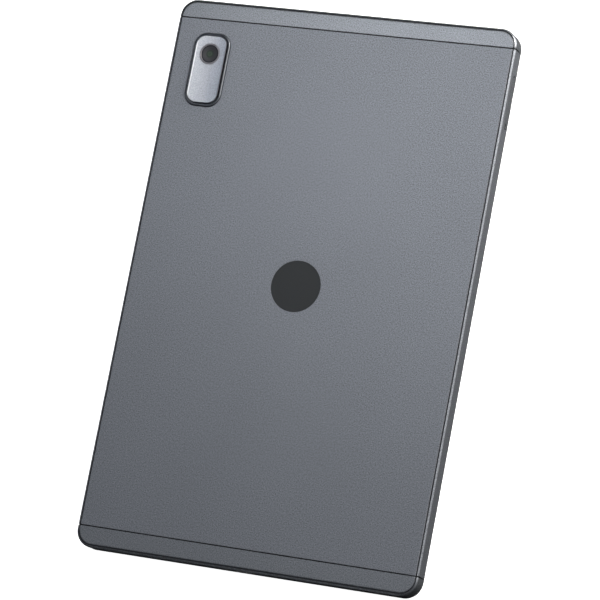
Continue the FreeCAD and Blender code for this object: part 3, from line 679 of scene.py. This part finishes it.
def finish_piece(piece, node, body):
    """Gives a new piece its finish and its body, and hides the CAD node it stands for."""
    slot = SLOT_OF[node]
    piece.data.materials.clear()
    piece.data.materials.append(MATERIALS[slot])
    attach(piece, body)
    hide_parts(node)
    return piece


# ---------------------------------------------------------------- rear housing


def outer_wall(inset):
    """(inset, z) points from the shell's inner ceiling, round its open edge and up its gently bowed wall."""
    points = [(WALL, TOP_Z - BACK), (WALL, SHELL_RIM_Z), (inset + WALL_BOW + 0.06, SHELL_RIM_Z)]
    low, high = SHELL_RIM_Z + 0.06, TOP_Z - EDGE_R - 0.10
    for i in range(BOW_STEPS):
        z = low + (high - low) * i / BOW_STEPS
        points.append((inset + WALL_BOW * ((WALL_WIDEST_Z - z) / (WALL_WIDEST_Z - low)) ** 2, z))
    return points


def housing_profile():
    """(inset, z) points of the hollow shell: wall, softened chamfer, frame line with a rounded inner lip."""
    chamfer = [(0.02, TOP_Z - EDGE_R - 0.08), (0.03, TOP_Z - EDGE_R - 0.01), (0.06, TOP_Z - EDGE_R + 0.05),
               (EDGE_R - 0.06, TOP_Z - 0.07), (EDGE_R - 0.01, TOP_Z - 0.03)]
    floor_end = EDGE_R + GROOVE_W
    groove = [(EDGE_R + 0.01, TOP_Z - GROOVE_D), (floor_end, TOP_Z - GROOVE_D)]
    lip = []
    for angle in range(0, 91, 10):
        turn = math.radians(angle)
        lip.append((floor_end + LIP_W * (1 - math.cos(turn)), TOP_Z - LIP_D * (1 - math.sin(turn))))
    return outer_wall(0.0) + chamfer + groove + lip


def seam_profile():
    """(inset, z) points of the filler in a seam, sunk below the shell."""
    top = TOP_Z - SEAM_SINK
    return outer_wall(SEAM_SINK) + arc(SEAM_SINK + EDGE_R, top - EDGE_R, EDGE_R, 0, 90)


def slab_tool(y0, y1):
    """A block wider and taller than the body, between two places along it."""
    section = (3 * HALF_W, y1 - y0, 0.0)
    return loft("slab", [(*section, -5), (*section, 2 * TOP_Z)], (0, (y0 + y1) / 2), steps=1)


def slot_tool(centre, size, outside, inside, to_point, flare=0.06):
    """Tool for a round-ended slot through a wall, widened by flare where it meets the outside."""
    width, height = size
    inwards = math.copysign(1.0, inside - outside)
    wide = (width + 2 * flare, height + 2 * flare, min(width, height) / 2 + flare)
    narrow = (width, height, min(width, height) / 2)
    sections = [(*wide, outside - inwards), (*wide, outside)]
    sections += [(*narrow, outside + inwards * flare), (*narrow, inside)]
    return loft("slot", sections, centre, to_point, steps=10)


def key_slot(node):
    """Slot for a side key: its flange is behind the wall, so the slot follows the key's cap."""
    low, high = node_box(node)
    length = high.y - low.y - 2 * KEY_FLANGE + 2 * KEY_GAP
    height = high.z - low.z - 2 * KEY_FLANGE_Z + 2 * KEY_GAP
    centre = middle_of((low, high), "yz")
    return slot_tool(centre, (length, height), -HALF_W, -HALF_W + CUT_DEPTH, facing_side)


def tray_slot():
    centre = middle_of((TRAY_LOW, TRAY_HIGH), "yz")
    size = (TRAY_HIGH.y - TRAY_LOW.y + 2 * TRAY_GAP, TRAY_HIGH.z - TRAY_LOW.z + 2 * TRAY_GAP_Z)
    return slot_tool(centre, size, HALF_W, HALF_W - CUT_DEPTH, facing_side, 0.03)


def island_hole():
    section = (ISLAND_W + 0.1, ISLAND_H + 0.1, ISLAND_R + 0.05)
    return loft("hole", [(*section, TOP_Z - 2), (*section, TOP_Z + 1)], ISLAND_CENTRE)


def badge_pocket():
    low, high = node_box("rear_badge")
    radius = (high.x - low.x) / 2 + 0.02
    profile = [(radius, low.z), (radius, TOP_Z - 0.03)]
    profile += [(radius + 0.05, TOP_Z + 0.02), (radius + 0.05, TOP_Z + 1)]
    return lathe("pocket", profile, middle_of((low, high), "xy"))


def speaker_slots(mesh_node, face_y):
    """Tools for the row of slots in front of a speaker mesh."""
    middle_x, middle_z = middle_of(node_box(mesh_node), "xz")
    inwards = -math.copysign(1.0, face_y)
    tools = []
    for i in range(SPEAKER_SLOTS):
        x = middle_x + (i - (SPEAKER_SLOTS - 1) / 2) * SLOT_PITCH
        inside = face_y + CUT_DEPTH * inwards
        tools.append(slot_tool((x, middle_z), SLOT_SIZE, face_y, inside, facing_end))
    return tools


def round_hole(node, radius, face_y, flare=0.05):
    """Tool for a round hole in an end wall, in front of the middle of a node."""
    centre = middle_of(node_box(node), "xz")
    inwards = -math.copysign(1.0, face_y)
    size = (2 * radius, 2 * radius)
    return slot_tool(centre, size, face_y, face_y + CUT_DEPTH * inwards, facing_end, flare)


def housing_piece(name, node, y0, y1, tools):
    """One of the three housings: the whole shell cut off at its seams, with its openings cut in."""
    piece = loft(name, body_sections(housing_profile()))
    combine(piece, slab_tool(y0, y1), "INTERSECT")
    for tool in tools:
        combine(piece, tool, "DIFFERENCE")
    smooth(piece, 0.06)
    finish_piece(piece, node, "tablet")
    # painted shade on the groove floor, the walls of the tray slot, the jack's mouth and the cut ends at the
    # seams
    darken(piece, in_groove, in_tray_slot, in_jack_mouth, at_seam)
    return piece


def inset_of(x, y, half_w=HALF_W, half_h=HALF_L, radius=CORNER_R):
    """How far inside a rounded rectangle about the origin a point lies, in plan."""
    past_x = abs(x) - (half_w - radius)
    past_y = abs(y) - (half_h - radius)
    if past_x > 0 and past_y > 0:
        return radius - math.hypot(past_x, past_y)
    return radius - max(past_x, past_y)


def in_groove(x, y, z):
    below_face = TOP_Z - GROOVE_D - 0.03 < z < TOP_Z - 0.04
    return below_face and EDGE_R < inset_of(x, y) < EDGE_R + GROOVE_W + 0.05


def in_tray_slot(x, y, z):
    reach = TRAY_GAP + 0.05
    along = TRAY_LOW.y - reach < y < TRAY_HIGH.y + reach
    across = TRAY_LOW.z - reach < z < TRAY_HIGH.z + reach
    return along and across and HALF_W - CUT_DEPTH - 0.1 < x < HALF_W - 0.01


def on_tray_rim(x, y, z):
    """The sides of the tray's lid, just behind its face, and the wall of its pin hole, which get painted
    shade.
    """
    middle_y, middle_z = middle_of((TRAY_LOW, TRAY_HIGH), "yz")
    in_hole = math.hypot(y - PIN_Y, z - middle_z) < PIN_R + PIN_FLARE
    end = (TRAY_HIGH.z - TRAY_LOW.z) / 2
    past_end = max(0.0, abs(y - middle_y) - (TRAY_HIGH.y - TRAY_LOW.y) / 2 + end)
    at_side = math.hypot(past_end, z - middle_z) > end - 0.06
    return TRAY_HIGH.x - 1.0 < x < TRAY_HIGH.x - 0.01 and (in_hole or at_side)


def in_jack_mouth(x, y, z):
    middle_x, middle_z = middle_of(JACK_BOX, "xz")
    across = math.hypot(x - middle_x, z - middle_z)
    return across < JACK_NOSE_R + JACK_FLARE and y < -HALF_L + CUT_DEPTH + 0.1


def at_seam(x, y, z):
    """The cut ends of the three housings."""
    return any(abs(y - seam_y) < 0.01 for seam_y in SEAM_ENDS)


def darken(piece, *tests):
    """Gives the near-black painted shade to every face whose middle passes one of the tests, which take x, y,
    z in mm.
    """
    piece.data.materials.append(PAINTED_SHADE)
    for face in piece.data.polygons:
        if any(test(*(face.center / MM)) for test in tests):
            face.material_index = 1


def rear_cover():
    tools = [key_slot("power_button"), key_slot("volume_rocker"), tray_slot(), island_hole(), badge_pocket()]
    return housing_piece("cover_shell", "rear_cover", SEAM_ENDS[1], SEAM_ENDS[2], tools)


def top_cap():
    tools = speaker_slots("speaker_mesh_top", HALF_L)
    tools.append(round_hole("microphone_top", MIC_R, HALF_L))
    return housing_piece("top_end_cap", "top_cap", SEAM_ENDS[3], HALF_L + 1, tools)


def bottom_cap():
    tools = speaker_slots("speaker_mesh_bottom", -HALF_L)
    tools.append(round_hole("microphone_bottom", MIC_R, -HALF_L))
    tools.append(round_hole("headphone_jack", JACK_NOSE_R + 0.05, -HALF_L, JACK_FLARE))
    low_usb, high_usb = node_box("usb_shell")
    size = (high_usb.x - low_usb.x + 0.1, high_usb.z - low_usb.z + 0.1)
    centre = (0.0, (low_usb.z + high_usb.z) / 2)
    tools.append(slot_tool(centre, size, -HALF_L, -HALF_L + CUT_DEPTH, facing_end))
    return housing_piece("bottom_end_cap", "bottom_cap", -HALF_L - 1, SEAM_ENDS[0], tools)


# ---------------------------------------------------------------- seams, rim and glass


def seam(name, node):
    """Dark strip in one seam, sunk a little below the housings."""
    low, high = node_box(node)
    piece = loft(name, body_sections(seam_profile()))
    combine(piece, slab_tool(low.y, high.y), "INTERSECT")
    smooth(piece)
    return finish_piece(piece, node, "tablet")


def front_rim():
    """Lip round the cover glass, rounded towards the front."""
    low, high = RIM_LOW.z, RIM_HIGH.z
    profile = arc(RIM_R, low + RIM_R, RIM_R, 0, -90)
    profile += [(0.88, low), (0.9, low + 0.02), (0.9, 0.85), (1.1, 0.85)]
    profile += [(1.1, high), (0.03, high), (0.0, high - 0.03)]
    piece = loft("glass_surround", body_sections(profile), closed=True)
    smooth(piece)
    return finish_piece(piece, "front_rim", "tablet")


def cover_glass():
    low, high = node_box("cover_glass")
    inset = HALF_W - high.x
    edge = arc(inset + GLASS_EDGE_R, GLASS_EDGE_R, GLASS_EDGE_R, -90, 0)
    piece = loft("front_glass", body_sections(edge + [(inset, high.z - 0.04), (inset + 0.04, high.z)]))
    smooth(piece)
    return finish_piece(piece, "cover_glass", "tablet")


def badge():
    low, high = node_box("rear_badge")
    radius = (high.x - low.x) / 2
    profile = [(radius, low.z), (radius, high.z - 0.05), (radius - 0.05, high.z)]
    piece = lathe("badge_disc", profile, middle_of((low, high), "xy"), 160)
    smooth(piece)
    return finish_piece(piece, "rear_badge", "tablet")


# ---------------------------------------------------------------- camera


def camera_surround():
    """Dark ring round the camera plate: sloping outer edge, sunken step inside it, hidden flange below."""
    flange_z, top = RING_LOW.z, RING_HIGH.z
    back_z = TOP_Z - BACK
    profile = [(-RING_FLANGE, flange_z), (-RING_FLANGE, back_z), (RING_WALL, back_z)]
    profile += [(RING_WALL, top - RING_EDGE_DROP), (0.18, top - 0.22), (0.36, top - 0.04), (RING_CREST, top)]
    profile += [(0.47, top - 0.02), (0.58, top - 0.42), (0.64, top - RING_STEP_DROP)]
    profile += [(0.96, top - RING_STEP_DROP), (RING_INNER, top - 0.50), (RING_INNER, back_z)]
    sections = inset_sections(ISLAND_W / 2, ISLAND_H / 2, ISLAND_R, profile)
    piece = loft("camera_ring", sections, ISLAND_CENTRE)
    eye_r = LENS_RING_R - 0.5
    combine(piece, lathe("eye", [(eye_r, flange_z - 1), (eye_r, back_z + 1)], LENS_CENTRE), "DIFFERENCE")
    smooth(piece)
    finish_piece(piece, "camera_surround", "tablet")
    piece.data.materials.append(RING_EDGE_FINISH)
    for face in piece.data.polygons:
        x, y, z = face.center / MM
        on_slope = top - RING_EDGE_DROP - 0.03 < z < top + 0.01 and face.normal.z > 0.3
        if on_slope and in_ring_edge(x, y):
            face.material_index = 1
    return piece


def in_ring_edge(x, y):
    """Whether a point lies over the sloping outer edge of the camera's ring."""
    from_middle = (x - ISLAND_CENTRE[0], y - ISLAND_CENTRE[1])
    return RING_WALL < inset_of(*from_middle, ISLAND_W / 2, ISLAND_H / 2, ISLAND_R) < RING_CREST


def camera_plate():
    width, height = PLATE_HIGH.x - PLATE_LOW.x, PLATE_HIGH.y - PLATE_LOW.y
    top = PLATE_HIGH.z
    profile = [(0.05, PLATE_LOW.z), (0.0, PLATE_LOW.z + 0.05)] + arc(0.16, top - 0.16, 0.16, 0, 90)
    piece = loft("camera_face", inset_sections(width / 2, height / 2, PLATE_R, profile), ISLAND_CENTRE)
    hole_r = LENS_RING_R + 0.03
    hole = [(hole_r, PLATE_LOW.z - 1), (hole_r, top - 0.08)]
    hole += [(hole_r + 0.10, top + 0.02), (hole_r + 0.10, top + 1)]
    combine(piece, lathe("hole", hole, LENS_CENTRE), "DIFFERENCE")
    smooth(piece)
    return finish_piece(piece, "camera_plate", "tablet")


def lens_ring():
    low, top = LENS_LOW.z, LENS_HIGH.z
    profile = [(LENS_RING_R - 0.05, low), (LENS_RING_R, low + 0.05)]
    rounding = [(0.12, top - 0.12), (0.085, top - 0.035), (0.0, top)]
    profile += [(LENS_RING_R - 0.12 + out, z) for out, z in rounding]
    profile += [(LENS_R + 0.16, top), (LENS_R + 0.03, top - 0.12), (LENS_R + 0.03, top - 0.7)]
    profile += [(LENS_R - 0.4, top - 0.7), (LENS_R - 0.4, low)]
    piece = lathe("lens_bezel", profile, LENS_CENTRE, 128, closed=True)
    smooth(piece)
    return finish_piece(piece, "lens_ring", "tablet")


def lens_window():
    """Flat lens cover with a ground edge and a shallow step where its printed rim ends."""
    low, high = node_box("lens_window")
    top = high.z
    profile = [(LENS_R, low.z), (LENS_R, top - 0.08), (LENS_R - 0.08, top), (2.30, top)]
    profile += [(2.27, top - 0.02), (1.30, top - 0.02), (1.27, top - 0.03)]
    piece = lathe("lens_front", profile, LENS_CENTRE, 128)
    smooth(piece)
    return finish_piece(piece, "lens_window", "tablet")


# ---------------------------------------------------------------- keys, tray and ports


def side_key(name, node, nub_depth, nub_offsets):
    """A key cap with rounded edges, its retaining flange, and the nubs that meet its switches."""
    low, high = node_box(node)
    middle = middle_of((low, high), "yz")
    length = high.y - low.y - 2 * KEY_FLANGE
    height = high.z - low.z - 2 * KEY_FLANGE_Z
    flange_back = high.x - nub_depth
    flange_front = flange_back - KEY_FLANGE_T
    sections = []
    for inset, x in arc(KEY_EDGE_R, KEY_EDGE_R, KEY_EDGE_R, -90, 0):
        sections.append((length - 2 * inset, height - 2 * inset, height / 2 - inset, low.x + x))
    sections.append((length, height, height / 2, flange_front + 0.02))
    cap = loft("cap", sections, middle, facing_side, steps=12)
    flange_size = (high.y - low.y, high.z - low.z, KEY_FLANGE_R)
    flange_sections = [(*flange_size, flange_front), (*flange_size, flange_back)]
    combine(cap, loft("flange", flange_sections, middle, facing_side, steps=3), "UNION")
    for offset in nub_offsets:
        place = (middle[0] + offset, middle[1])
        nub_sections = [(*NUB, flange_back - 0.1), (*NUB, high.x)]
        combine(cap, loft("nub", nub_sections, place, facing_side, steps=3), "UNION")
    cap.name = name
    smooth(cap)
    return finish_piece(cap, node, node)


def card_tray():
    """The tray, with the mouth of its pin hole opened out a little."""
    bm = bmesh.new()
    bm.from_mesh(frame["nodes"]["card_tray"].data)
    bmesh.ops.remove_doubles(bm, verts=bm.verts, dist=0.001 * MM)
    piece = new_object("sim_tray", bm)
    cone = round_sections([(PIN_R, TRAY_HIGH.x - 0.5), (PIN_R + PIN_FLARE, TRAY_HIGH.x + 0.2)])
    place = (PIN_Y, (TRAY_LOW.z + TRAY_HIGH.z) / 2)
    combine(piece, loft("cone", cone, place, facing_side, steps=12), "DIFFERENCE")
    smooth(piece, 0.04)
    finish_piece(piece, "card_tray", "card_tray")
    # painted shade on the sides of the tray's lid and in its pin hole
    darken(piece, on_tray_rim)
    return piece


def headphone_jack():
    """Socket body with a round nose, and the bore that takes the plug."""
    low, high = JACK_BOX
    middle = middle_of(JACK_BOX, "xz")
    width = high.x - low.x
    height = high.z - low.z
    body_y = -HALF_L + WALL + 0.05
    block = [(width, height, 0.3, body_y), (width, height, 0.3, high.y)]
    body = loft("body", block, middle, facing_end, steps=3)
    nose = [(JACK_NOSE_R - 0.12, low.y), (JACK_NOSE_R, low.y + 0.12), (JACK_NOSE_R, body_y + 0.5)]
    combine(body, loft("nose", round_sections(nose), middle, facing_end), "UNION")
    bore = [(JACK_R + 0.14, low.y - 1), (JACK_R + 0.14, low.y)]
    bore += [(JACK_R, low.y + 0.14), (JACK_R, low.y + JACK_BORE)]
    combine(body, loft("bore", round_sections(bore), middle, facing_end), "DIFFERENCE")
    body.name = "jack_socket"
    smooth(body)
    return finish_piece(body, "headphone_jack", "tablet")


def usb_shell():
    """Drawn steel receptacle with a rolled mouth."""
    low, high = node_box("usb_shell")
    middle = middle_of((low, high), "xz")
    width, height = high.x - low.x, high.z - low.z
    profile = [(0.06, low.y), (0.0, low.y + 0.06), (0.0, high.y)]
    profile += [(USB_T, high.y), (USB_T, low.y + 0.06), (USB_T - 0.06, low.y)]
    rings = [(width - 2 * inset, height - 2 * inset, height / 2 - inset, y) for inset, y in profile]
    piece = loft("port_shell", rings, middle, facing_end, closed=True)
    smooth(piece)
    return finish_piece(piece, "usb_shell", "tablet")


# ---------------------------------------------------------------- CAD nodes that stay as they are


def dress_nodes():
    """Gives every CAD node that is still shown its finish, fine bevels and even shading."""
    for name, node in frame["nodes"].items():
        if node.hide_render:
            continue
        node.data.materials.clear()
        node.data.materials.append(MATERIALS[SLOT_OF[name]])
        node.data.shade_smooth()
        weld = node.modifiers.new("weld", "WELD")
        weld.merge_threshold = 0.001 * MM
        thin = min(b - a for a, b in zip(*node_box(name)))
        edge = node.modifiers.new("edge", "BEVEL")
        edge.width = min(NODE_BEVEL, thin * 0.2) * MM
        edge.segments = 2
        edge.limit_method = "ANGLE"
        edge.angle_limit = math.radians(40)
        even = node.modifiers.new("even", "WEIGHTED_NORMAL")
        even.weight = 50


# ---------------------------------------------------------------- scene


def make_camera():
    """Camera above the rear face, turned so that the body's long side runs almost up the picture."""
    aim = Vector(CAMERA_AIM) * MM
    azimuth, elevation = math.radians(CAMERA_AZIMUTH), math.radians(CAMERA_ELEVATION)
    level = math.cos(elevation)
    back = Vector((math.sin(azimuth) * level, -math.cos(azimuth) * level, math.sin(elevation)))
    turn = Quaternion((0, 0, 1), math.radians(CAMERA_ROLL))
    data = bpy.data.cameras.new("camera")
    data.sensor_width = CAMERA_SENSOR
    data.lens = CAMERA_LENS
    data.clip_start, data.clip_end = 0.01, 20.0
    camera = bpy.data.objects.new("camera", data)
    camera.location = aim + back * CAMERA_DISTANCE * MM
    camera.rotation_mode = "QUATERNION"
    camera.rotation_quaternion = (-back).to_track_quat("-Z", "Y") @ turn
    bpy.context.scene.collection.objects.link(camera)
    bpy.context.scene.camera = camera


def area_light(name, location, aim, size, power, colour):
    data = bpy.data.lights.new(name, "AREA")
    data.shape = "DISK"
    data.size = size
    data.energy = power
    data.color = colour
    light = bpy.data.objects.new(name, data)
    light.location = location
    light.visible_camera = False
    light.rotation_mode = "QUATERNION"
    light.rotation_quaternion = (Vector(aim) - Vector(location)).to_track_quat("-Z", "Y")
    bpy.context.scene.collection.objects.link(light)


def make_sky():
    """Soft light from all round, a smooth fade away from one direction."""
    world = bpy.data.worlds.new("studio")
    bpy.context.scene.world = world
    world.use_nodes = True
    tree = world.node_tree
    place = tree.nodes.new("ShaderNodeTexCoord")
    along = tree.nodes.new("ShaderNodeVectorMath")
    along.operation = "DOT_PRODUCT"
    along.inputs[1].default_value = SKY_BRIGHTEST
    tree.links.new(place.outputs["Generated"], along.inputs[0])
    strength = tree.nodes.new("ShaderNodeMapRange")
    tree.links.new(along.outputs["Value"], strength.inputs["Value"])
    for key, value in SKY_FADE.items():
        strength.inputs[key].default_value = value
    background = tree.nodes["Background"]
    background.inputs["Color"].default_value = SKY_COLOUR
    tree.links.new(strength.outputs[0], background.inputs["Strength"])


def floor_material():
    """Near-white card, bright enough to read as the studio's white."""
    g = Graph("studio_floor")
    fibre = g.noise(120.0, 4.0)
    g.set(base_color=g.shade((0.88, 0.88, 0.88), 0.02, fibre), roughness=0.9)
    g.set(emission_color=(1.0, 1.0, 1.0, 1.0), emission_strength=0.95)
    return g.material


def make_floor():
    """Floor that sweeps up into a plain wall all round, so that no low view looks past it."""
    bm = bmesh.new()
    rings = []
    for radius, height in FLOOR_SWEEP:
        ring = []
        for i in range(FLOOR_SIDES):
            turn = 2 * math.pi * i / FLOOR_SIDES
            place = (radius * math.cos(turn), radius * math.sin(turn), height - FLOOR_DROP)
            ring.append(bm.verts.new(place))
        rings.append(ring)
    bm.faces.new(rings[0])
    for inner, outer in zip(rings, rings[1:]):
        for i in range(FLOOR_SIDES):
            j = (i + 1) % FLOOR_SIDES
            bm.faces.new((inner[i], outer[i], outer[j], inner[j]))
    floor = new_object("floor", bm)
    floor.data.materials.append(floor_material())
    floor.visible_diffuse = False
    floor.visible_glossy = False
    floor.visible_shadow = False


SLOT_OF = {part["node"]: part["material_slot"] for part in frame["record"]["subparts"]}
MATERIALS = {slot: make() for slot, make in FINISHES.items()}
# near-black painted shade for the groove floor, slot walls, the jack's mouth and the seam ends
PAINTED_SHADE = groove_shadow()
RING_EDGE_FINISH = ring_edge()

bpy.context.scene.view_settings.view_transform = "Standard"
rear_cover()
top_cap()
bottom_cap()
seam("top_seam_strip", "top_seam")
seam("bottom_seam_strip", "bottom_seam")
front_rim()
cover_glass()
badge()
camera_surround()
camera_plate()
lens_ring()
lens_window()
side_key("power_key", "power_button", POWER_NUB_DEPTH, POWER_NUBS)
side_key("volume_key", "volume_rocker", VOLUME_NUB_DEPTH, VOLUME_NUBS)
card_tray()
headphone_jack()
usb_shell()
dress_nodes()
make_camera()
for light in LIGHTS:
    area_light(*light)
make_sky()
make_floor()
